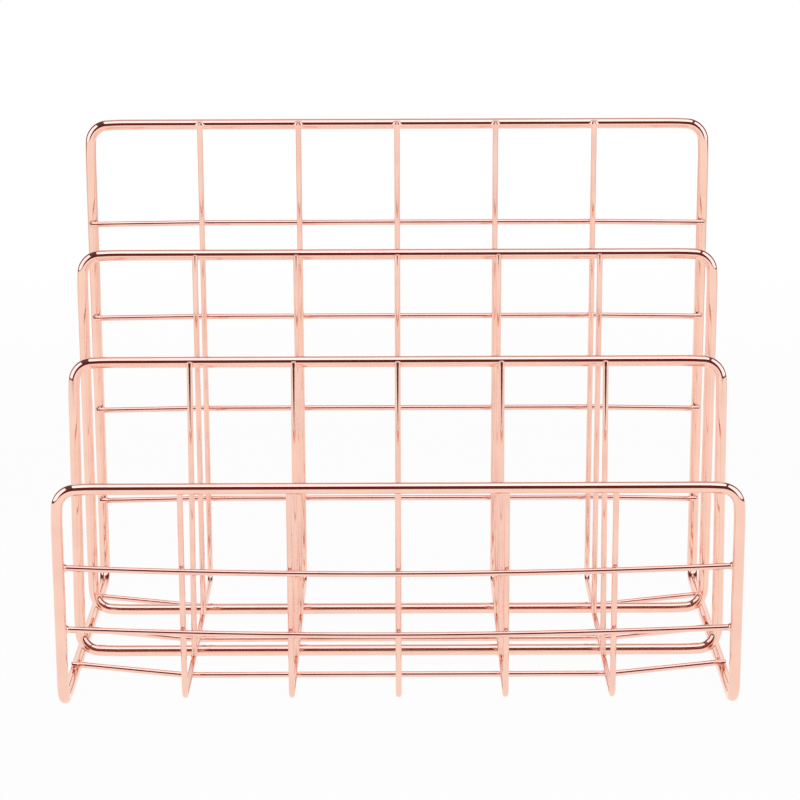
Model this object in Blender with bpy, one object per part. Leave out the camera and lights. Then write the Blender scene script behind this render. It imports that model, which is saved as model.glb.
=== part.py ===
"""Desktop bookshelf: an open sorter of plated steel wire with three slots.

One closed loop of thick rod makes the low front, the two floor runners and
the tall back. Five thin U-wires lie inside it from front to back, thin cross
wires tie them to the rod, and two dividers stand on the U-wires, the front
one leaning back a little.
At the floor the wires are pressed together as they are welded, so each U-wire
has seats for the base wires below it and for the divider bars above it.
Metres, +Z up, front towards -Y, origin on the floor under the middle.
"""
import math

import bmesh
import bpy
from mathutils import Matrix, Vector

# Stock
ROD_DIAMETER = 0.0048
WIRE_DIAMETER = 0.0025

# Outer frame, measured between the rod's centre lines
FRAME_WIDTH = 0.2800
FRAME_DEPTH = 0.1600
FRONT_TOP = 0.0964
BACK_TOP = 0.2210
TOP_BEND = 0.0085
FLOOR_BEND = 0.0120

# U-wires
U_WIRE_COUNT = 5
U_WIRE_PITCH = 0.0448
U_WIRE_BEND = 0.0050
FRONT_TIP_BELOW_BAR_TOP = 0.0015
BACK_TIP_BELOW_BAR_TOP = 0.0003

# Cross wires: heights at the legs, and places along the floor
FRONT_WIRE_HEIGHTS = (0.0352, 0.0620)
FRONT_WIRE_SAG = 0.0030
BASE_WIRE_COUNT = 3
BASE_WIRE_PITCH = 0.0440
BACK_WIRE_COUNT = 4
BACK_WIRE_PITCH = 0.0442
BACK_WIRE_LOWEST = 0.0430
CROSS_END_PAST_ROD = 0.0010

# Dividers: places from the front rod's centre line, tops from the floor
# while upright, wire tips from the top bar's axis, leans back about the bottom bar
DIVIDER_INSET = 0.00085
DIVIDER_TOP_BEND = 0.0085
DIVIDER_FOOT_BEND = 0.0088
DIVIDER_WIRE_COUNT = 5
DIVIDER_WIRE_PITCH = 0.0445
DIVIDER_WIRE_TIP_ABOVE_BAR = 0.0007
FRONT_DIVIDER_PLACE = 0.0533
FRONT_DIVIDER_TOP = 0.1339
FRONT_DIVIDER_LEAN = math.radians(5.0)
BACK_DIVIDER_PLACE = 0.1067
BACK_DIVIDER_TOP = 0.1715
BACK_DIVIDER_LEAN = 0.0

# Welds and clearances
WELD_SINK = 0.0007
WELD_GAP = 0.0003
FLOOR_GAP = 0.0002

# Mesh steps
ROD_SIDES = 12
WIRE_SIDES = 8
BEND_STEPS = 5
EASE_STEPS = 6
SAG_STEPS = 10
MERGE = 0.000001

# Sizes that follow from the ones above
ROD = ROD_DIAMETER / 2
WIRE = WIRE_DIAMETER / 2
LAP = ROD + WELD_GAP + WIRE
CROSSING = 2 * WIRE + WELD_GAP
FRONT_Y = -FRAME_DEPTH / 2
BACK_Y = FRAME_DEPTH / 2
SIDE_X = FRAME_WIDTH / 2
U_FRONT_Y = FRONT_Y + LAP
U_BACK_Y = BACK_Y - LAP
BASE_CROSS_Z = FLOOR_GAP + WIRE
U_BASE_Z = BASE_CROSS_Z + 2 * WIRE - WELD_SINK
DIVIDER_BAR_Z = U_BASE_Z + WIRE + ROD - WELD_SINK
OUTER_U_X = U_WIRE_PITCH * (U_WIRE_COUNT - 1) / 2
CROSS_END_X = SIDE_X + CROSS_END_PAST_ROD
DIVIDERS = (
    ("front", FRONT_Y + FRONT_DIVIDER_PLACE, FRONT_DIVIDER_TOP, FRONT_DIVIDER_LEAN),
    ("back", FRONT_Y + BACK_DIVIDER_PLACE, BACK_DIVIDER_TOP, BACK_DIVIDER_LEAN),
)


def clear_scene():
    for obj in list(bpy.data.objects):
        bpy.data.objects.remove(obj, do_unlink=True)


def plating(name, colour, roughness):
    """Bright copper-coloured plating on steel."""
    mat = bpy.data.materials.new(name)
    mat.use_nodes = True
    shader = mat.node_tree.nodes["Principled BSDF"]
    shader.inputs["Base Color"].default_value = (*colour, 1.0)
    shader.inputs["Roughness"].default_value = roughness
    shader.inputs["Metallic"].default_value = 1.0
    mat.diffuse_color = (*colour, 1.0)
    return mat


def bent(corners, radius, closed=False):
    """Run a path through the corners, each rounded by an arc.

    radius is one bend radius for all, or a list with one for each corner.
    """
    count = len(corners)
    radii = radius if isinstance(radius, list) else [radius] * count
    points = []
    for i, corner in enumerate(corners):
        here = Vector(corner)
        if not closed and i in (0, count - 1):
            points.append(here)
            continue
        to_last = (Vector(corners[i - 1]) - here).normalized()
        to_next = (Vector(corners[(i + 1) % count]) - here).normalized()
        half = to_last.angle(to_next) / 2
        centre = here + (to_last + to_next).normalized() * (radii[i] / math.sin(half))
        start = here + to_last * (radii[i] / math.tan(half)) - centre
        axis = to_last.cross(to_next).normalized()
        sweep = math.pi - 2 * half
        across = start.cross(axis)
        for step in range(BEND_STEPS + 1):
            turn = sweep * step / BEND_STEPS
            points.append(centre + start * math.cos(turn) + across * math.sin(turn))
    return points


def tube_curve(name, points, diameter, sides, material, closed=False):
    """A round bar along the points, its flats at the true diameter."""
    curve = bpy.data.curves.new(name, "CURVE")
    curve.dimensions = "3D"
    curve.twist_mode = "MINIMUM"
    curve.bevel_depth = diameter / 2 / math.cos(math.pi / sides)
    curve.bevel_resolution = (sides - 4) // 2
    curve.use_fill_caps = not closed
    spline = curve.splines.new("POLY")
    spline.points.add(len(points) - 1)
    for slot, point in zip(spline.points, points):
        slot.co = (*point, 1.0)
        slot.tilt = math.pi / sides
    spline.use_cyclic_u = closed
    spline.use_smooth = True
    curve.materials.append(material)
    return curve


def place(name, data, collection, location=(0, 0, 0), parent=None):
    obj = bpy.data.objects.new(name, data)
    obj.location = location
    obj.parent = parent
    collection.objects.link(obj)
    return obj


def spread(count, pitch):
    """Evenly spaced places about zero."""
    return [pitch * (i - (count - 1) / 2) for i in range(count)]


def eased(end_x, rod_x, level_x):
    """Places along a cross wire, each with how far it has eased from the rod
    towards the U-wires: 0 on the rod, 1 between the outer U-wires."""
    left = [(-end_x, 0.0)]
    for step in range(EASE_STEPS + 1):
        part = step / EASE_STEPS
        x = rod_x + (level_x - rod_x) * part
        left.append((-x, (1 - math.cos(math.pi * part)) / 2))
    return left + [(-x, amount) for x, amount in reversed(left)]


def build_outer_frame(collection, material):
    """The closed loop: front, floor and back, with eight bends."""
    floor = ROD
    corners = [
        (-SIDE_X, FRONT_Y, FRONT_TOP),
        (SIDE_X, FRONT_Y, FRONT_TOP),
        (SIDE_X, FRONT_Y, floor),
        (SIDE_X, BACK_Y, floor),
        (SIDE_X, BACK_Y, BACK_TOP),
        (-SIDE_X, BACK_Y, BACK_TOP),
        (-SIDE_X, BACK_Y, floor),
        (-SIDE_X, FRONT_Y, floor),
    ]
    radii = [TOP_BEND if corner[2] > floor else FLOOR_BEND for corner in corners]
    path = bent(corners, radii, closed=True)
    curve = tube_curve("outer_frame", path, ROD_DIAMETER, ROD_SIDES, material, closed=True)
    place("outer_frame", curve, collection)


def solid_mesh(curve):
    """The curve's bar as a mesh with its caps joined on, ready to be cut."""
    blank = place("blank", curve, bpy.context.scene.collection)
    graph = bpy.context.evaluated_depsgraph_get()
    mesh = bpy.data.meshes.new_from_object(blank.evaluated_get(graph))
    bpy.data.objects.remove(blank, do_unlink=True)
    shape = bmesh.new()
    shape.from_mesh(mesh)
    bmesh.ops.remove_doubles(shape, verts=shape.verts, dist=MERGE)
    shape.to_mesh(mesh)
    shape.free()
    return mesh


def seat_cutter(name, diameter, sides, y, z, collection, lean=0.0):
    """A bar across the shelf, one weld gap larger than the piece it stands for."""
    radius = (diameter / 2 + WELD_GAP) / math.cos(math.pi / sides)
    turn = Matrix.Rotation(math.pi / 2, 4, "Y") @ Matrix.Rotation(math.pi / sides, 4, "Z")
    shape = bmesh.new()
    bmesh.ops.create_cone(
        shape,
        cap_ends=True,
        segments=sides,
        radius1=radius,
        radius2=radius,
        depth=FRAME_WIDTH,
        matrix=turn,
    )
    mesh = bpy.data.meshes.new(name)
    shape.to_mesh(mesh)
    shape.free()
    cutter = place(name, mesh, collection, (0, y, z))
    cutter.rotation_euler.x = -lean
    cutter.hide_render = True
    cutter.display_type = "WIRE"


def build_seats(collection):
    """Cutters for the U-wires: the base wires below and the divider bars above."""
    for i, y in enumerate(spread(BASE_WIRE_COUNT, BASE_WIRE_PITCH)):
        seat_cutter(f"base_seat_{i + 1}", WIRE_DIAMETER, WIRE_SIDES, y, BASE_CROSS_Z, collection)
    for label, y, _, lean in DIVIDERS:
        name = f"{label}_divider_seat"
        seat_cutter(name, ROD_DIAMETER, ROD_SIDES, y, DIVIDER_BAR_Z, collection, lean)


def build_u_wires(collection, material, seats):
    """Thin wires lapped on the inner faces of the front and back bars."""
    path = bent(
        [
            (0, U_FRONT_Y, FRONT_TOP + ROD - FRONT_TIP_BELOW_BAR_TOP),
            (0, U_FRONT_Y, U_BASE_Z),
            (0, U_BACK_Y, U_BASE_Z),
            (0, U_BACK_Y, BACK_TOP + ROD - BACK_TIP_BELOW_BAR_TOP),
        ],
        U_WIRE_BEND,
    )
    mesh = solid_mesh(tube_curve("u_wire", path, WIRE_DIAMETER, WIRE_SIDES, material))
    for i, x in enumerate(spread(U_WIRE_COUNT, U_WIRE_PITCH)):
        wire = place(f"u_wire_{i + 1}", mesh, collection, (x, 0, 0))
        cut = wire.modifiers.new("weld_seats", "BOOLEAN")
        cut.operation = "DIFFERENCE"
        cut.operand_type = "COLLECTION"
        cut.collection = seats


def build_front_wires(collection, material):
    """Wires in front of the U-wires, butted on the legs and bowed down."""
    end = SIDE_X - ROD - WELD_GAP
    path = []
    for step in range(SAG_STEPS + 1):
        part = 2 * step / SAG_STEPS - 1
        path.append((end * part, 0, -FRONT_WIRE_SAG * (1 - part * part)))
    curve = tube_curve("front_wire", path, WIRE_DIAMETER, WIRE_SIDES, material)
    for i, height in enumerate(FRONT_WIRE_HEIGHTS):
        place(f"front_wire_{i + 1}", curve, collection, (0, U_FRONT_Y - CROSSING, height))


def build_base_wires(collection, material):
    """Wires that lie on the runners and dip under the U-wires."""
    high = ROD + LAP
    path = [
        (x, 0, high + (BASE_CROSS_Z - high) * amount)
        for x, amount in eased(CROSS_END_X, SIDE_X - ROD, OUTER_U_X + WIRE_DIAMETER)
    ]
    curve = tube_curve("base_wire", path, WIRE_DIAMETER, WIRE_SIDES, material)
    for i, y in enumerate(spread(BASE_WIRE_COUNT, BASE_WIRE_PITCH)):
        place(f"base_wire_{i + 1}", curve, collection, (0, y, 0))


def build_back_wires(collection, material):
    """Wires lapped on the back legs' front faces that pass behind the U-wires."""
    path = [
        (x, U_BACK_Y + CROSSING * amount, 0)
        for x, amount in eased(CROSS_END_X, SIDE_X - ROD, OUTER_U_X + WIRE_DIAMETER)
    ]
    curve = tube_curve("back_wire", path, WIRE_DIAMETER, WIRE_SIDES, material)
    for i in range(BACK_WIRE_COUNT):
        height = BACK_WIRE_LOWEST + i * BACK_WIRE_PITCH
        place(f"back_wire_{i + 1}", curve, collection, (0, 0, height))


def build_divider(label, y, top, lean, collection, rod_material, wire_material):
    """A closed rod loop on the U-wires, with thin uprights lapped on its front.

    Heights are taken from the bottom bar's axis, which the divider leans about.
    """
    holder = place(f"{label}_divider", None, collection, (0, y, DIVIDER_BAR_Z))
    holder.rotation_euler.x = -lean
    side = SIDE_X - DIVIDER_INSET
    height = top - DIVIDER_BAR_Z
    corners = [(-side, 0, height), (side, 0, height), (side, 0, 0), (-side, 0, 0)]
    radii = [DIVIDER_TOP_BEND] * 2 + [DIVIDER_FOOT_BEND] * 2
    path = bent(corners, radii, closed=True)
    name = f"{label}_divider_frame"
    curve = tube_curve(name, path, ROD_DIAMETER, ROD_SIDES, rod_material, closed=True)
    place(name, curve, collection, parent=holder)

    low = U_BASE_Z + WIRE + WELD_GAP - DIVIDER_BAR_Z
    high = height + DIVIDER_WIRE_TIP_ABOVE_BAR
    upright = tube_curve(
        f"{label}_divider_wire",
        [(0, -LAP, low), (0, -LAP, high)],
        WIRE_DIAMETER,
        WIRE_SIDES,
        wire_material,
    )
    for i, x in enumerate(spread(DIVIDER_WIRE_COUNT, DIVIDER_WIRE_PITCH)):
        place(f"{label}_divider_wire_{i + 1}", upright, collection, (x, 0, 0), holder)


def main():
    clear_scene()
    shelf = bpy.data.collections.new("desktop_bookshelf")
    bpy.context.scene.collection.children.link(shelf)
    rod_plating = plating("rod_plating", (0.90, 0.50, 0.38), 0.12)
    wire_plating = plating("wire_plating", (0.88, 0.48, 0.36), 0.14)
    seats = bpy.data.collections.new("weld_seats")
    bpy.context.scene.collection.children.link(seats)
    build_seats(seats)
    build_outer_frame(shelf, rod_plating)
    build_u_wires(shelf, wire_plating, seats)
    build_front_wires(shelf, wire_plating)
    build_base_wires(shelf, wire_plating)
    build_back_wires(shelf, wire_plating)
    for label, y, top, lean in DIVIDERS:
        build_divider(label, y, top, lean, shelf, rod_plating, wire_plating)


main()
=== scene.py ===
# %% [markdown]
# # A desktop bookshelf of rose-gold wire
#
# The real object is a small sorter for books and papers, made on a wire bender. One closed loop
# of thick rod is the front, the two floor runners and the back. Five thin wires run through it in
# a U, thin cross wires tie them together, and two framed dividers stand between front and back.
# It is spot welded, then plated, so the whole shelf has one bright skin.
#
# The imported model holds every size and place, in faceted bars. This lesson bends smooth round
# bars along the same paths, adds the welds, gives them the plating, and lights them as in a small
# photo studio.

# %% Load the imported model
import math
import random

import bmesh
import bpy
from mathutils import Matrix, Vector


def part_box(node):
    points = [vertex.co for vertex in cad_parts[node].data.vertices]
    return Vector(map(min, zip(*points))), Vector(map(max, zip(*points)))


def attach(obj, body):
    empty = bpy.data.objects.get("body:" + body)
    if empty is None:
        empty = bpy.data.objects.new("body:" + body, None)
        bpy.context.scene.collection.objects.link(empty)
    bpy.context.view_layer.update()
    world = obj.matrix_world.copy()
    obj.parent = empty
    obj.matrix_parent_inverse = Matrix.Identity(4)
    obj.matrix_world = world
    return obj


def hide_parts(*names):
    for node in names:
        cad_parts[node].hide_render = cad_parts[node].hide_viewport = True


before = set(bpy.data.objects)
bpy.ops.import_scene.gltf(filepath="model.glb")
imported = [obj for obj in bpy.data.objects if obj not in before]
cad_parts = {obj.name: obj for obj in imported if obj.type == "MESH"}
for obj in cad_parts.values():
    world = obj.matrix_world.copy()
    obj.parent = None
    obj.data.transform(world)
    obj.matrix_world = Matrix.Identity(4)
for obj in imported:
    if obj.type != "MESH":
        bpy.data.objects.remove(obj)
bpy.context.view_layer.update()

# %% [markdown]
# ## Sizes from the frame
#
# Nothing is measured twice. A node's box gives the stock's thickness and the places of its axes,
# and where a box isn't enough, such as for the low front bar of a loop with a tall back, we look
# at the node's points.

# %% Measure the stock and the outer loop
MM = 0.001
RIGHT = Vector((1, 0, 0))
BACK = Vector((0, 1, 0))
UP = Vector((0, 0, 1))


def corners_of(node):
    """A node's lowest and highest corners as vectors."""
    low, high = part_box(node)
    return Vector(low), Vector(high)


def top_in_front(node):
    """The highest point of a node in the front half of the shelf."""
    points = (vert.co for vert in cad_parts[node].data.vertices)
    return max(point.z for point in points if point.y < 0)


low, high = corners_of("back_divider_frame")
rod = (high.y - low.y) / 2
low, high = corners_of("u_wire_1")
wire = (high.x - low.x) / 2

low, high = corners_of("outer_frame")
side_x = high.x - rod
front_y, back_y = low.y + rod, high.y - rod
runner_z = low.z + rod
front_bar_z = top_in_front("outer_frame") - rod
back_bar_z = high.z - rod
print(f"rod {2 * rod / MM:.2f} mm, wire {2 * wire / MM:.2f} mm")
print(f"front bar at {front_bar_z / MM:.1f} mm, back bar at {back_bar_z / MM:.1f} mm")

# %% [markdown]
# ## The plating
#
# The finish is a thin, bright copper-gold plating on drawn steel. Polished metal has almost no
# colour of its own: it shows the studio, tinted. So the material is a metal with a pale rose tint
# and a low roughness, and the stripes along the bars come from the lights later on. What keeps it
# from looking like a perfect mirror is small unevenness: faint lines left by the drawing die, a
# soft haze where the bath was slower, and a pinhole here and there. The lines follow the wire
# round its bends, so they read an attribute that holds each point's place on the unbent bar.

# %% One helper for colours, one for nodes
def from_hex(code):
    """An sRGB hex colour as the linear values that a shader takes."""
    channels = [int(code[i:i + 2], 16) / 255 for i in (1, 3, 5)]
    linear = [c / 12.92 if c <= 0.04045 else ((c + 0.055) / 1.055) ** 2.4 for c in channels]
    return (*linear, 1.0)


def add(tree, kind, values=None, links=None, **settings):
    """Add a node, set its settings and socket values, and link what feeds it."""
    node = tree.nodes.new("ShaderNode" + kind)
    for name, value in settings.items():
        setattr(node, name, value)
    for socket, value in (values or {}).items():
        node.inputs[socket].default_value = value
    for socket, source in (links or {}).items():
        tree.links.new(source, node.inputs[socket])
    return node


# A colour Mix node shares its socket names with number mixes, so its sockets go by number.
FACTOR, COLOUR_A, COLOUR_B, MIXED = 0, 6, 7, 2
ROD_TINT = "#FCD2BF"
print("rose tint in linear light:", [round(value, 3) for value in from_hex(ROD_TINT)])

# %% [markdown]
# The clear metal comes first. Haze, drawn lines and pinholes then change its tint, its roughness
# or its bump a little. Each pattern gets its scale from a size in millimetres.

# %% Bright plating on rod and wire
HAZE_SIZE = 14 * MM
HAZE_FROM, HAZE_TO = 0.35, 0.70
# Die lines are a few hundredths of a millimetre wide. They are drawn coarser, so that they show.
LINE_WIDTH = 0.5 * MM
LINE_LENGTH = 40 * MM
LINE_DEPTH = 0.004 * MM
LINE_BUMP = 0.25
LINE_ROUGHNESS = 0.04
PINHOLE_SPACING = 9 * MM
PINHOLE_SIZE = 0.2 * MM
PINHOLE_SHARE = 0.7
PINHOLE_COLOUR = "#8E4A3A"


def plating(name, tint, cloudy_tint, clear, cloudy):
    """Bright rose-gold plating: a clear mirror with drawn lines, soft haze and a few pinholes."""
    material = bpy.data.materials.new(name)
    material.use_nodes = True
    tree = material.node_tree
    shader = tree.nodes["Principled BSDF"]
    shader.inputs["Metallic"].default_value = 1.0

    place = add(tree, "TexCoord").outputs["Object"]
    noise = add(tree, "TexNoise", {"Scale": 1 / HAZE_SIZE, "Detail": 3.0}, {"Vector": place})
    haze = add(
        tree,
        "MapRange",
        {"From Min": HAZE_FROM, "From Max": HAZE_TO},
        {"Value": noise.outputs["Fac"]},
        interpolation_type="SMOOTHSTEP",
    ).outputs["Result"]

    unbent = add(tree, "Attribute", attribute_name="unbent").outputs["Vector"]
    stretch = (1 / LINE_WIDTH, 1 / LINE_WIDTH, 1 / LINE_LENGTH)
    drawn = add(tree, "Mapping", {"Scale": stretch}, {"Vector": unbent}).outputs["Vector"]
    streaks = add(tree, "TexNoise", {"Scale": 1.0, "Detail": 2.0}, {"Vector": drawn})
    lines = streaks.outputs["Fac"]

    cells = add(tree, "TexVoronoi", {"Scale": 1 / PINHOLE_SPACING}, {"Vector": place})
    edge = PINHOLE_SIZE / PINHOLE_SPACING
    pinhole = add(
        tree,
        "MapRange",
        {"From Min": edge / 2, "From Max": edge, "To Min": PINHOLE_SHARE, "To Max": 0.0},
        {"Value": cells.outputs["Distance"]},
    ).outputs["Result"]

    tinted = add(
        tree,
        "Mix",
        {COLOUR_A: from_hex(tint), COLOUR_B: from_hex(cloudy_tint)},
        {FACTOR: haze},
        data_type="RGBA",
    ).outputs[MIXED]
    colour = add(
        tree,
        "Mix",
        {COLOUR_B: from_hex(PINHOLE_COLOUR)},
        {FACTOR: pinhole, COLOUR_A: tinted},
        data_type="RGBA",
    ).outputs[MIXED]
    gloss = add(tree, "MapRange", {"To Min": clear, "To Max": cloudy}, {"Value": haze})
    rough = add(
        tree,
        "Math",
        {1: LINE_ROUGHNESS},
        {0: lines, 2: gloss.outputs["Result"]},
        operation="MULTIPLY_ADD",
    ).outputs["Value"]
    bump = add(tree, "Bump", {"Strength": LINE_BUMP, "Distance": LINE_DEPTH}, {"Height": lines})

    tree.links.new(colour, shader.inputs["Base Color"])
    tree.links.new(rough, shader.inputs["Roughness"])
    tree.links.new(bump.outputs["Normal"], shader.inputs["Normal"])
    return material


# Thick rod takes the polish best. Thin wire is a touch softer, and pinker where the bath ran slow.
rod_plating = plating(
    "bright_rose_gold_on_rod", ROD_TINT, cloudy_tint="#F9CCB9", clear=0.035, cloudy=0.075
)
wire_plating = plating(
    "bright_rose_gold_on_wire", "#FBD1BF", cloudy_tint="#F7C9B8", clear=0.040, cloudy=0.075
)
print("made", rod_plating.name, "and", wire_plating.name)

# %% [markdown]
# ## Plated welds
#
# A spot weld is a small nugget of squeezed-out metal. It is plated with the rest, but its skin
# isn't drawn smooth like wire, so it scatters a little more and has a dimpled surface. The same
# metal with a higher roughness and a fine bump gives that, and a darker tint where the bump is low
# is painted shade in the dimples' hollows.

# %% Plating over the welds
DIMPLE_SIZE = 0.6 * MM
DIMPLE_DEPTH = 0.05 * MM
DIMPLE_BUMP = 0.4
# A darker tint for the low points of the dimples: painted shade in their hollows.
PAINTED_HOLLOW_SHADE = "#E9B39B"


def weld_plating(name, tint, roughness):
    """Weld plating: the same tint, a softer dimpled shine, and painted shade in the hollows."""
    material = bpy.data.materials.new(name)
    material.use_nodes = True
    tree = material.node_tree
    shader = tree.nodes["Principled BSDF"]
    shader.inputs["Metallic"].default_value = 1.0
    shader.inputs["Roughness"].default_value = roughness
    place = add(tree, "TexCoord").outputs["Object"]
    noise = add(tree, "TexNoise", {"Scale": 1 / DIMPLE_SIZE, "Detail": 2.0}, {"Vector": place})
    dimples = noise.outputs["Fac"]
    # Where the bump is low, the darker tint is painted shade in the dimples' hollows.
    colour = add(
        tree,
        "Mix",
        {COLOUR_A: from_hex(PAINTED_HOLLOW_SHADE), COLOUR_B: from_hex(tint)},
        {FACTOR: dimples},
        data_type="RGBA",
    ).outputs[MIXED]
    bump = add(
        tree, "Bump", {"Strength": DIMPLE_BUMP, "Distance": DIMPLE_DEPTH}, {"Height": dimples}
    )
    tree.links.new(colour, shader.inputs["Base Color"])
    tree.links.new(bump.outputs["Normal"], shader.inputs["Normal"])
    return material


weld_finish = weld_plating("rose_gold_over_weld", "#F8CBB8", roughness=0.14)
print("made", weld_finish.name)

# %% [markdown]
# ## A bar bender
#
# A curve with a round bevel would give tubes quickly, but it can't flatten a wire where a weld
# squeezes it. So we work as a wire bender does. A ring of points is the end of the stock. A
# straight feed extrudes the ring and moves it, a bend spins it about a centre, and at the tip the
# ring can be widened, thinned and pushed against its neighbour. Thick rod doesn't go from
# straight to round at once, so a bend can have a lead: a few degrees of a much wider arc before
# and after it, along which the stripes on the metal taper off. Each new ring notes how much bar
# has been fed, for the drawn lines.

# %% Feed and bend
BEND_STEP = math.radians(3)
LEAD_RADIUS = 120 * MM
CUT_SEGMENTS = 3
DOME_STEPS = 5
# A dome stops this share of a step short of its pole, and a small face closes it.
DOME_OPENING = 0.4


class Bar:
    """A round bar that is fed out straight or bent, one ring of points after another."""

    def __init__(self, radius, sides, start, heading, across):
        self.shape = bmesh.new()
        self.unbent = self.shape.verts.layers.float_vector.new("unbent")
        self.start = (Vector(start), Vector(heading), Vector(across))
        self.first = bmesh.ops.create_circle(self.shape, segments=sides, radius=radius)["verts"]
        for vert in self.first:
            vert[self.unbent] = vert.co
        self.begin(1)
        bmesh.ops.transform(self.shape, matrix=self.stance(), verts=self.first)

    def begin(self, sense):
        """Start at the first ring, and feed forwards (1) or backwards (-1) from it."""
        self.place, self.heading, self.across = (vector.copy() for vector in self.start)
        self.heading *= sense
        self.sense = sense
        self.tip = self.first
        self.section = (1.0, 1.0)
        self.offset = Vector((0, 0, 0))

    def stance(self):
        """Where the newest ring stands, as a matrix."""
        axes = (self.across, self.heading.cross(self.across), self.heading)
        return Matrix.Translation(self.place + self.offset) @ Matrix(axes).transposed().to_4x4()

    def rim(self):
        """The newest ring's edges."""
        tip = set(self.tip)
        edges = (edge for vert in self.tip for edge in vert.link_edges)
        return list(dict.fromkeys(edge for edge in edges if set(edge.verts) <= tip))

    def note(self, grown, length):
        """Keep the new ring's points, with their place along the unbent bar."""
        self.tip = [part for part in grown if isinstance(part, bmesh.types.BMVert)]
        for vert in self.tip:
            vert[self.unbent] = vert[self.unbent] + Vector((0, 0, self.sense * length))

    def run(self, length, section=None, offset=None):
        """Feed a straight length. Its end may change section, and be pushed aside by an offset."""
        before = self.stance()
        wide, deep = self.section
        self.section = section or self.section
        self.offset = self.offset if offset is None else offset
        self.place = self.place + self.heading * length
        change = Matrix.Diagonal((self.section[0] / wide, self.section[1] / deep, 1, 1))
        self.note(bmesh.ops.extrude_edge_only(self.shape, edges=self.rim())["geom"], length)
        move = self.stance() @ change @ before.inverted()
        bmesh.ops.transform(self.shape, matrix=move, verts=self.tip)

    def bend(self, angle, radius, towards, step=BEND_STEP):
        """Bend to one side, about a centre that lies one radius away."""
        centre = self.place + towards * radius
        axis = self.heading.cross(towards)
        steps = math.ceil(angle / step)
        part = angle / steps
        for _ in range(steps):
            spun = bmesh.ops.spin(
                self.shape, geom=self.rim(), cent=centre, axis=axis, angle=part, steps=1
            )
            self.note(spun["geom_last"], radius * part)
        turn = Matrix.Rotation(angle, 3, axis)
        self.place = centre + turn @ (self.place - centre)
        self.heading = turn @ self.heading
        self.across = turn @ self.across

    def follow(self, corners, radii, lead=0.0):
        """Feed through corner points and bend at each but the last. A lead eases every bend."""
        for here, after, radius in zip(corners, corners[1:], radii):
            way = (after - here).normalized()
            angle = self.heading.angle(way)
            arcs = [(lead, LEAD_RADIUS), (angle - 2 * lead, radius), (lead, LEAD_RADIUS)]
            turned, aside = 0.0, 0.0
            for part, size in arcs:
                aside += size * (math.cos(turned) - math.cos(turned + part))
                turned += part
            self.run((here - self.place).length - aside / math.sin(angle))
            for part, size in arcs:
                if part > 0:
                    self.bend(part, size, (way - way.project(self.heading)).normalized())
        self.run((corners[-1] - self.place).length)

    def cut(self, edge):
        """End in a sheared face whose edge is slightly rounded."""
        face = bmesh.ops.edgeloop_fill(self.shape, edges=self.rim())["faces"][0]
        bmesh.ops.bevel(
            self.shape,
            geom=face.edges[:],
            offset=edge,
            segments=CUT_SEGMENTS,
            profile=0.5,
            affect="EDGES",
            material=-1,
        )

    def dome(self, length):
        """End in a rounded nose."""
        wide, deep = self.section
        fed = 0.0
        for step in range(1, DOME_STEPS + 1):
            turn = math.pi / 2 * step / (DOME_STEPS + DOME_OPENING)
            reach = length * math.sin(turn)
            self.run(reach - fed, (wide * math.cos(turn), deep * math.cos(turn)))
            fed = reach
        bmesh.ops.edgeloop_fill(self.shape, edges=self.rim())


print("bar bender ready")

# %% [markdown]
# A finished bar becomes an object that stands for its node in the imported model. Its place is in
# its mesh, so the object stays at the origin. Doubles are merged first, which closes a loop where
# its two ends meet, and only then are the normals turned outwards.

# %% Turn a shape into a piece
SHARP = math.radians(40)
MERGE_DISTANCE = 0.002 * MM
ROD_SIDES = 48
WIRE_SIDES = 32


def make_piece(shape, name, slot, finish, *nodes):
    """Close a shape, give it its finish, and let it ride on the frame in place of its nodes."""
    bmesh.ops.remove_doubles(shape, verts=shape.verts, dist=MERGE_DISTANCE)
    bmesh.ops.recalc_face_normals(shape, faces=shape.faces)
    open_edges = sum(not edge.is_manifold for edge in shape.edges)
    mesh = bpy.data.meshes.new(name)
    shape.to_mesh(mesh)
    shape.free()
    mesh.shade_smooth()
    mesh.set_sharp_from_angle(angle=SHARP)
    mesh.materials.append(finish)
    piece = bpy.data.objects.new(name, mesh)
    bpy.context.scene.collection.objects.link(piece)
    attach(piece, "root")
    if nodes:
        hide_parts(*nodes)
    print(f"{name}: {len(mesh.polygons)} faces, {open_edges} open edges")


print(f"rod has {ROD_SIDES} sides and wire {WIRE_SIDES}")

# %% [markdown]
# ## The outer frame
#
# One closed loop of rod makes the low front, both floor runners and the tall back. Eight corner
# points, two bend radii and the lead say it all: tight bends at the tops, wider ones at the
# floor. The bender starts halfway along the left runner. The two ends of the rod are butt welded
# there, so the last short run closes the loop.

# %% Bend the outer frame
TOP_BEND = 8.0 * MM
FLOOR_BEND = 11.5 * MM
ROD_LEAD = math.radians(4)
BUTT_WELD = 1.2 * MM

joint = Vector((-side_x, 0, runner_z))
frame_corners = [
    Vector((-side_x, back_y, runner_z)),
    Vector((-side_x, back_y, back_bar_z)),
    Vector((side_x, back_y, back_bar_z)),
    Vector((side_x, back_y, runner_z)),
    Vector((side_x, front_y, runner_z)),
    Vector((side_x, front_y, front_bar_z)),
    Vector((-side_x, front_y, front_bar_z)),
    Vector((-side_x, front_y, runner_z)),
    joint - BACK * BUTT_WELD,
]
frame_bends = [FLOOR_BEND if corner.z == runner_z else TOP_BEND for corner in frame_corners]

loop = Bar(rod, ROD_SIDES, joint, BACK, RIGHT)
loop.follow(frame_corners, frame_bends, ROD_LEAD)
loop.run(BUTT_WELD)
make_piece(loop.shape, "plated_outer_frame", "rod_plating", rod_plating, "outer_frame")

# %% [markdown]
# ## U-wires
#
# Five thin wires come down inside the front bar, cross the floor and go up inside the back bar.
# Their tips lie on the inner face of each bar, and the welding press squeezes them there: a tip
# spreads sideways like a tent and is drawn in again at its end. The dividers' uprights get such
# tips too, and at their feet these sink a little towards the bar.

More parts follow.
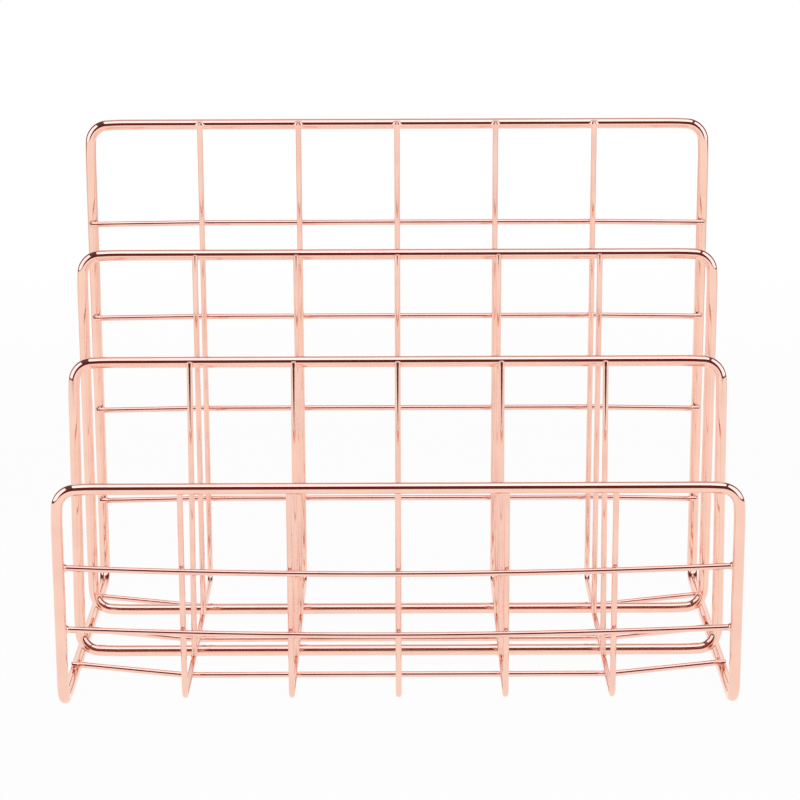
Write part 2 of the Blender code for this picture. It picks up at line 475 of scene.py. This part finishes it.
# %% Squeeze a tip against a bar
PRESS_EASE = 2.2 * MM
PRESS_TENT = 1.5 * MM
TIP_NOSE = 0.45 * MM
TIP_LENGTH = PRESS_EASE + PRESS_TENT + TIP_NOSE
DRAWN_IN = 0.45
PRESS_STEPS = 8


def pressed_tip(bar, towards, spread, sink=0.0):
    """End a wire as a weld leaves it: spread, perhaps sunk towards a bar, drawn in at the tip."""
    for length, first, last in ((PRESS_EASE, 0.0, 1.0), (PRESS_TENT, 1.0, DRAWN_IN)):
        for step in range(1, PRESS_STEPS + 1):
            part = first + (last - first) * (1 - math.cos(math.pi * step / PRESS_STEPS)) / 2
            section = (1 + (spread - 1) * part, 1.0)
            bar.run(length / PRESS_STEPS, section, towards * sink * (part if last > first else 1.0))
    bar.dome(TIP_NOSE)


print(f"a pressed tip is {TIP_LENGTH / MM:.2f} mm long")

# %% [markdown]
# A U has two like halves, so the bender starts in the middle of the floor and feeds both ways
# from there. The places come from each wire's own node.

# %% Bend the U-wires
U_BEND = 5 * MM
U_SPREAD = 1.75

u_nodes = [f"u_wire_{i}" for i in range(1, 6)]
low, high = corners_of("u_wire_1")
u_front_y, u_back_y = low.y + wire, high.y - wire
u_floor_z = low.z + wire
u_back_tip, u_front_tip = high.z, top_in_front("u_wire_1")
u_places = []
for node in u_nodes:
    low, high = corners_of(node)
    x = (low.x + high.x) / 2
    u_places.append(x)
    bent = Bar(wire, WIRE_SIDES, (x, 0, u_floor_z), BACK, RIGHT)
    for sense, y, tip in ((1, u_back_y, u_back_tip), (-1, u_front_y, u_front_tip)):
        bent.begin(sense)
        bent.follow([Vector((x, y, u_floor_z)), Vector((x, y, tip - TIP_LENGTH))], [U_BEND])
        pressed_tip(bent, BACK * sense, U_SPREAD)
    make_piece(bent.shape, f"plated_{node}", "wire_plating", wire_plating, node)

# %% [markdown]
# ## Front wires
#
# Two wires cross the front, butted on the legs. Pulled between the legs while they were welded,
# they bow down a few millimetres, which is one very wide bend. At each leg the weld leaves a
# small flare. The flare ends inside the rod, so there is no gap to see.

# %% Bow the front wires
FLARE_LENGTH = 1.3 * MM
FLARE_STEPS = 5
FLARE_SPREAD = 1.45
INTO_ROD = 0.9 * MM
HIDDEN_EDGE = 0.01 * MM
BOW_STEP = math.radians(0.25)


def flare(bar, length, spread):
    """Let the section grow along a short length, as weld metal does where a wire butts on a rod."""
    for step in range(1, FLARE_STEPS + 1):
        grown = 1 + (spread - 1) * (step / FLARE_STEPS) ** 2
        bar.run(length / FLARE_STEPS, (grown, grown))


leg_face = side_x - rod
front_nodes = ["front_wire_1", "front_wire_2"]
front_wires = []
for node in front_nodes:
    low, high = corners_of(node)
    y = (low.y + high.y) / 2
    sag = (high.z - low.z) - 2 * wire
    half = leg_face - FLARE_LENGTH
    bow_radius = (half * half + sag * sag) / (2 * sag)
    bow_angle = math.asin(half / bow_radius)
    bowed = Bar(wire, WIRE_SIDES, (0, y, low.z + wire), RIGHT, BACK)
    for sense in (1, -1):
        bowed.begin(sense)
        bowed.bend(bow_angle, bow_radius, UP, BOW_STEP)
        flare(bowed, FLARE_LENGTH, FLARE_SPREAD)
        bowed.run(INTO_ROD)
        bowed.cut(HIDDEN_EDGE)
    front_wires.append((y, low.z + wire, bow_radius))
    make_piece(bowed.shape, f"plated_{node}", "wire_plating", wire_plating, node)

# %% [markdown]
# ## Base and back wires
#
# Three wires cross the floor and four cross the back. Their ends lie on the rod, and between the
# outer U-wires they pass on the other side of those. In between they slope, with a gentle bend at
# each end of the slope, so a cross wire is a row of corner points once more.

# %% Slope the cross wires over
CUT_EDGE = 0.25 * MM
SLOPE_BEND = 45 * MM
level_end = max(u_places) + 2 * wire


def cross_wire(node, middle, step_over):
    """A wire across the shelf that slopes over by a vector before it meets the rod at each end."""
    end_x = corners_of(node)[1].x
    sloped = Bar(wire, WIRE_SIDES, middle, RIGHT, step_over.normalized())
    for sense in (1, -1):
        sloped.begin(sense)
        side = RIGHT * sense
        slope_start = middle + side * level_end
        slope_end = middle + side * leg_face + step_over
        tip = slope_end + side * (end_x - leg_face)
        sloped.follow([slope_start, slope_end, tip], [SLOPE_BEND] * 2)
        sloped.cut(CUT_EDGE)
    make_piece(sloped.shape, f"plated_{node}", "wire_plating", wire_plating, node)


base_nodes = [f"base_wire_{i}" for i in range(1, 4)]
base_places = []
for node in base_nodes:
    low, high = corners_of(node)
    y = (low.y + high.y) / 2
    base_places.append(y)
    cross_wire(node, Vector((0, y, low.z + wire)), UP * (high.z - low.z - 2 * wire))
base_low_z = low.z + wire

back_nodes = [f"back_wire_{i}" for i in range(1, 5)]
back_heights = []
for node in back_nodes:
    low, high = corners_of(node)
    z = (low.z + high.z) / 2
    back_heights.append(z)
    cross_wire(node, Vector((0, high.y - wire, z)), -BACK * (high.y - low.y - 2 * wire))
back_wire_y = high.y - wire

# %% [markdown]
# ## Dividers
#
# Each divider is a closed loop of rod that stands on the U-wires. The front one leans back a few
# degrees. Five thin uprights are lapped on the front of its two bars. The press has squeezed both
# of their tips and pulled the top ones back towards the bar, so an upright leans a little more at
# its top. The box of a leaning loop still gives its two axes: the bottom bar is its lowest front
# corner, and the top bar its highest back corner.

# %% Bend the divider loops and weld on the uprights
DIVIDER_TOP_BEND = 8.0 * MM
DIVIDER_FOOT_BEND = 8.3 * MM
UPRIGHT_SPREAD = 1.06
FOOT_SINK = 0.1 * MM
PULL_BEND = 60 * MM
# How much of an upright's top is pulled towards the bar, and by what angle.
PULLS = {"front": (30 * MM, math.radians(1.3)), "back": (11 * MM, math.radians(3.4))}

lap = back_y - u_back_y
low, high = corners_of("back_divider_frame")
tip_low, tip_high = corners_of("back_divider_wire_1")
tip_above_bar = tip_high.z - (high.z - rod)
tip_below_bar = (low.z + rod) - tip_low.z
joint_x = (u_places[2] + u_places[3]) / 2

divider_feet = []
for label in ("front", "back"):
    node = f"{label}_divider_frame"
    low, high = corners_of(node)
    half = high.x - rod
    foot = Vector((0, low.y + rod, low.z + rod))
    head = Vector((0, high.y - rod, high.z - rod))
    rise = (head - foot).normalized()
    ahead = RIGHT.cross(rise)
    divider_feet.append(foot)

    loop = Bar(rod, ROD_SIDES, foot + RIGHT * joint_x, RIGHT, rise)
    loop_corners = [
        foot + RIGHT * half,
        head + RIGHT * half,
        head - RIGHT * half,
        foot - RIGHT * half,
        foot + RIGHT * (joint_x - BUTT_WELD),
    ]
    foot_bend, top_bend = DIVIDER_FOOT_BEND, DIVIDER_TOP_BEND
    loop.follow(loop_corners, [foot_bend, top_bend, top_bend, foot_bend], ROD_LEAD)
    loop.run(BUTT_WELD)
    make_piece(loop.shape, f"plated_{node}", "rod_plating", rod_plating, node)

    half_height = (head - foot).length / 2
    for i in range(1, 6):
        node = f"{label}_divider_wire_{i}"
        low, high = corners_of(node)
        middle = (foot + head) / 2 + RIGHT * ((low.x + high.x) / 2) + ahead * lap
        upright = Bar(wire, WIRE_SIDES, middle, rise, RIGHT)
        pull_length, pull = PULLS[label]
        upright.run(half_height + tip_above_bar - pull_length)
        upright.bend(pull, PULL_BEND, -ahead)
        upright.run(pull_length - PULL_BEND * pull - TIP_LENGTH)
        pressed_tip(upright, -ahead, UPRIGHT_SPREAD)
        upright.begin(-1)
        upright.run(half_height + tip_below_bar - TIP_LENGTH)
        pressed_tip(upright, -ahead, UPRIGHT_SPREAD, FOOT_SINK)
        make_piece(upright.shape, f"plated_{node}", "wire_plating", wire_plating, node)

# %% [markdown]
# ## Weld nuggets
#
# Wherever two bars cross, a nugget of weld metal fills the corner between them. A ball, pressed
# to a different size along each bar and made slightly uneven, has the right look. Nuggets of one
# kind are one piece.

# %% Set the nuggets
UNEVEN = 0.12
NUGGET_SEGMENTS, NUGGET_RINGS = 20, 12
SEED = 11
draw = random.Random(SEED)


def nuggets(name, places, size):
    """Pressed balls of weld metal at some places, none quite like the next."""
    shape = bmesh.new()
    for place in places:
        ball = bmesh.ops.create_uvsphere(
            shape, u_segments=NUGGET_SEGMENTS, v_segments=NUGGET_RINGS, radius=1.0
        )["verts"]
        grown = Vector(draw.uniform(1 - UNEVEN, 1 + UNEVEN) * side for side in size)
        move = Matrix.Translation(place) @ Matrix.Diagonal((*grown, 1))
        bmesh.ops.transform(shape, matrix=move, verts=ball)
    make_piece(shape, name, "wire_plating", weld_finish)


def bow_height(x, lowest, radius):
    """Height of a bowed front wire at a place along it."""
    return lowest + radius - math.sqrt(radius * radius - x * x)


front_crossings = [
    Vector((x, (y + u_front_y) / 2, bow_height(x, lowest, radius)))
    for y, lowest, radius in front_wires
    for x in u_places
]
back_mid_y = (back_wire_y + u_back_y) / 2
back_crossings = [Vector((x, back_mid_y, z)) for z in back_heights for x in u_places]
base_mid_z = (base_low_z + u_floor_z) / 2
base_crossings = [Vector((x, y, base_mid_z)) for y in base_places for x in u_places]
runner_laps = [Vector((x, y, runner_z + rod)) for y in base_places for x in (-side_x, side_x)]
leg_laps = [Vector((x, back_y - rod, z)) for z in back_heights for x in (-side_x, side_x)]
seat_z = (divider_feet[0].z - rod + u_floor_z + wire) / 2
divider_seats = [Vector((x, foot.y, seat_z)) for foot in divider_feet for x in u_places]

tip_laps = [Vector((x, back_y - rod, back_bar_z)) for x in u_places]
tip_laps += [Vector((x, front_y + rod, front_bar_z)) for x in u_places]

nuggets("front_crossing_welds", front_crossings, (1.40 * MM, 0.75 * MM, 1.35 * MM))
nuggets("back_crossing_welds", back_crossings, (1.45 * MM, 0.75 * MM, 1.35 * MM))
nuggets("base_crossing_welds", base_crossings, (1.45 * MM, 1.45 * MM, 0.7 * MM))
nuggets("runner_lap_welds", runner_laps, (1.45 * MM, 1.40 * MM, 0.8 * MM))
nuggets("leg_lap_welds", leg_laps, (1.45 * MM, 0.8 * MM, 1.40 * MM))
nuggets("divider_seat_welds", divider_seats, (1.6 * MM, 2.3 * MM, 0.8 * MM))
nuggets("bar_tip_welds", tip_laps, (2.1 * MM, 0.8 * MM, 1.3 * MM))

# %% [markdown]
# ## The studio
#
# Mirror metal is only as good as what it reflects. The shelf stands on a white table in front of
# a white sweep. A large softbox hangs above, two stand at the sides, and the room behind the
# camera is dark. The dark room is what draws the thin brown stripe along every bar. Above the
# table's edge it goes on round both sides, where it draws the fine dark line outside each bend,
# but not over the top, so the bars' upper edges stay light. Walls and ceiling are far away, so
# they are the world, and their colour only depends on where one looks.

# %% Walls and ceiling of the room
# Parts of a direction one unit long: how far aside, backwards or up it has to point.
SIDE_FROM, SIDE_TO = 0.22, 0.34
TABLE_EDGE_FROM, TABLE_EDGE_TO = -0.16, -0.08
DARK_REACH = 0.60
BACK_FADE = 0.25
CEILING_FROM, CEILING_TO = 0.60, 0.75
FRONT_WALL = "#622F2B"
BACK_WALL_LOW, BACK_WALL_HIGH = "#E6D8D2", "#CDBCBA"
CEILING = "#5E4C50"

scene = bpy.context.scene
scene.view_settings.view_transform = "Standard"

world = bpy.data.worlds.new("photo_studio")
scene.world = world
world.use_nodes = True
tree = world.node_tree
tree.nodes.clear()
way = add(tree, "TexCoord").outputs["Generated"]
axes = add(tree, "SeparateXYZ", links={"Vector": way}).outputs
beside = add(tree, "Math", links={0: axes["X"]}, operation="ABSOLUTE").outputs["Value"]
to_side = add(
    tree, "MapRange", {"From Min": SIDE_FROM, "From Max": SIDE_TO}, {"Value": beside}
).outputs["Result"]
upward = add(
    tree,
    "MapRange",
    {"From Min": TABLE_EDGE_FROM, "From Max": TABLE_EDGE_TO},
    {"Value": axes["Z"]},
).outputs["Result"]
dark_side = add(tree, "Math", links={0: upward, 1: to_side}, operation="MULTIPLY").outputs["Value"]
past_dark = add(
    tree, "Math", {1: -DARK_REACH}, {0: dark_side, 2: axes["Y"]}, operation="MULTIPLY_ADD"
).outputs["Value"]
to_back = add(tree, "MapRange", {"From Max": BACK_FADE}, {"Value": past_dark}).outputs["Result"]
overhead = add(
    tree, "MapRange", {"From Min": CEILING_FROM, "From Max": CEILING_TO}, {"Value": axes["Z"]}
).outputs["Result"]
ceiling = add(tree, "Math", links={0: to_side, 1: overhead}, operation="MULTIPLY").outputs["Value"]

back_wall = add(
    tree,
    "Mix",
    {COLOUR_A: from_hex(BACK_WALL_LOW), COLOUR_B: from_hex(BACK_WALL_HIGH)},
    {FACTOR: upward},
    data_type="RGBA",
).outputs[MIXED]
walls = add(
    tree,
    "Mix",
    {COLOUR_A: from_hex(FRONT_WALL)},
    {FACTOR: to_back, COLOUR_B: back_wall},
    data_type="RGBA",
).outputs[MIXED]
room = add(
    tree,
    "Mix",
    {COLOUR_B: from_hex(CEILING)},
    {FACTOR: ceiling, COLOUR_A: walls},
    data_type="RGBA",
).outputs[MIXED]
print("room painted with", len(tree.nodes), "nodes")

# %% [markdown]
# The sweep is a strip of white paper behind the table. Mirrored in the metal it is white over its
# own width and height. Looked at directly the background is white on every side, so that other
# views get it too.

# %% White sweep behind the table
# The sweep is seen where a direction points this many times further back than aside.
SWEEP_SLIMNESS = 2.6
SWEEP_EDGE = 0.1
SWEEP_TOP_FROM, SWEEP_TOP_TO = 0.45, 0.60
WHITE = (1, 1, 1, 1)

off_middle = add(
    tree, "Math", {1: -SWEEP_SLIMNESS}, {0: beside, 2: axes["Y"]}, operation="MULTIPLY_ADD"
).outputs["Value"]
in_width = add(
    tree, "MapRange", {"From Min": -SWEEP_EDGE, "From Max": SWEEP_EDGE}, {"Value": off_middle}
).outputs["Result"]
below_top = add(
    tree,
    "MapRange",
    {"From Min": SWEEP_TOP_FROM, "From Max": SWEEP_TOP_TO, "To Min": 1.0, "To Max": 0.0},
    {"Value": axes["Z"]},
).outputs["Result"]
on_sweep = add(
    tree, "Math", links={0: in_width, 1: below_top}, operation="MULTIPLY"
).outputs["Value"]

rays = add(tree, "LightPath").outputs
mirrored = add(
    tree,
    "Math",
    links={0: rays["Is Glossy Ray"], 1: rays["Is Transmission Ray"]},
    operation="ADD",
).outputs["Value"]
white_share = add(
    tree,
    "Math",
    links={0: mirrored, 1: on_sweep, 2: rays["Is Camera Ray"]},
    operation="MULTIPLY_ADD",
    use_clamp=True,
).outputs["Value"]
painted = add(tree, "Background", links={"Color": room}).outputs[0]
white = add(tree, "Background", {"Color": WHITE}).outputs[0]
either = add(tree, "MixShader", links={0: white_share, 1: painted, 2: white}).outputs[0]
add(tree, "OutputWorld", links={"Surface": either})
print("world made with", len(tree.nodes), "nodes")

# %% [markdown]
# The table is plain white paper. Seen directly or in the metal it glows a little, so that it
# comes out white; the matt share under the glow still takes the shelf's shadow. It ends in front,
# where the leaning uprights see the dark room beyond its edge. Behind the shelf only the strip
# that runs up into the sweep goes on.

# %% Table
TABLE_FRONT, TABLE_BACK, TABLE_HALF = -1.76, 0.30, 2.40
SWEEP_BACK, SWEEP_HALF = 4.0, 0.42
NEAR, FAR = 0.35, 0.90
NEAR_GLOW = 0.96
PAPER_COLOUR = "#F4F4F4"


def stage_sheet(name, half_width, start, end, finish):
    """A flat sheet on the floor between two places along the depth. It isn't part of the shelf."""
    shape = bmesh.new()
    bmesh.ops.create_grid(shape, x_segments=1, y_segments=1, size=1.0)
    size = Matrix.Diagonal((half_width, (end - start) / 2, 1, 1))
    move = Matrix.Translation((0, (start + end) / 2, 0))
    bmesh.ops.transform(shape, matrix=move @ size, verts=shape.verts)
    mesh = bpy.data.meshes.new(name)
    shape.to_mesh(mesh)
    shape.free()
    mesh.materials.append(finish)
    sheet = bpy.data.objects.new(name, mesh)
    scene.collection.objects.link(sheet)
    print(f"{name}: {2 * half_width:.2f} x {end - start:.2f} m")


paper = bpy.data.materials.new("white_table_paper")
paper.use_nodes = True
tree = paper.node_tree
tree.nodes.clear()
rays = add(tree, "LightPath").outputs
mirrored = add(
    tree,
    "Math",
    links={0: rays["Is Glossy Ray"], 1: rays["Is Transmission Ray"]},
    operation="ADD",
)
looked_at = add(
    tree,
    "Math",
    links={0: rays["Is Camera Ray"], 1: mirrored.outputs["Value"]},
    operation="ADD",
    use_clamp=True,
)
spot = add(tree, "TexCoord").outputs["Object"]
away = add(tree, "VectorMath", links={0: spot}, operation="LENGTH").outputs["Value"]
glowing = add(
    tree,
    "MapRange",
    {"From Min": NEAR, "From Max": FAR, "To Min": NEAR_GLOW, "To Max": 1.0},
    {"Value": away},
).outputs["Result"]
share = add(
    tree, "Math", links={0: looked_at.outputs["Value"], 1: glowing}, operation="MULTIPLY"
)
matt = add(tree, "BsdfDiffuse", {"Color": from_hex(PAPER_COLOUR)}).outputs[0]
glow = add(tree, "Emission", {"Color": WHITE, "Strength": 1.0}).outputs[0]
blend = add(tree, "MixShader", links={0: share.outputs["Value"], 1: matt, 2: glow}).outputs[0]
add(tree, "OutputMaterial", links={"Surface": blend})

stage_sheet("table", TABLE_HALF, TABLE_FRONT, TABLE_BACK, paper)
stage_sheet("sweep_on_table", SWEEP_HALF, TABLE_BACK, SWEEP_BACK, paper)

# %% [markdown]
# Softboxes are area lamps. The one above makes the white line on every bar, and those at the
# sides the white line round every top bend. The right one nearly meets the one above, and the
# left one leaves a dark gap. Their energy is worked out from the brightness that the metal should
# show.

# %% Softboxes
# Flash light is a little cooler than the table's white, so the lines on the rose metal stay white.
FLASH_COLOUR = from_hex("#EEEEFF")[:3]
BRIGHTNESS_ABOVE, BRIGHTNESS_ASIDE = 1.72, 1.63


def softbox(name, place, aim, width, height, brightness):
    """A soft rectangle of light that looks evenly bright from any side."""
    lamp = bpy.data.lights.new(name, "AREA")
    lamp.shape = "RECTANGLE"
    lamp.size, lamp.size_y = width, height
    lamp.color = FLASH_COLOUR
    lamp.energy = brightness * math.pi * width * height
    box = bpy.data.objects.new(name, lamp)
    box.location = place
    box.rotation_euler = (Vector(aim) - Vector(place)).to_track_quat("-Z", "Y").to_euler()
    box.visible_camera = False
    scene.collection.objects.link(box)
    print(f"{name}: {lamp.energy:.1f} W")


# The box above aims a hair backwards, which settles how its sides lie.
softbox(
    "softbox_above",
    place=(0.08, -0.34, 1.20),
    aim=(0.08, -0.339, 0),
    width=1.08,
    height=1.02,
    brightness=BRIGHTNESS_ABOVE,
)
softbox(
    "softbox_left",
    place=(-0.95, -0.42, 0.64),
    aim=(0, -0.42, 0.64),
    width=1.24,
    height=1.00,
    brightness=BRIGHTNESS_ASIDE,
)
softbox(
    "softbox_right",
    place=(0.95, -0.42, 0.79),
    aim=(0, -0.42, 0.79),
    width=1.24,
    height=1.30,
    brightness=BRIGHTNESS_ASIDE,
)

# %% [markdown]
# ## The camera
#
# The picture was taken with a long lens from about a metre, looking down by 15 degrees. A lens of
# 116 mm on a 36 mm sensor gives that view in a square frame. The camera is turned by a fifth of a
# degree about its own axis, as it was on its stand.

# %% Place the camera
LENS = 116.0
SENSOR = 36.0
EYE = Vector((0.96 * MM, -1087.3 * MM, 404.9 * MM))
PITCH = math.radians(15.07)
ROLL = math.radians(-0.2)

lens = bpy.data.cameras.new("camera")
lens.lens = LENS
lens.sensor_width = SENSOR
camera = bpy.data.objects.new("camera", lens)
turn = Matrix.Rotation(math.pi / 2 - PITCH, 4, "X") @ Matrix.Rotation(ROLL, 4, "Z")
camera.matrix_world = Matrix.Translation(EYE) @ turn
scene.collection.objects.link(camera)
scene.camera = camera
print("camera at", [round(value, 3) for value in EYE])
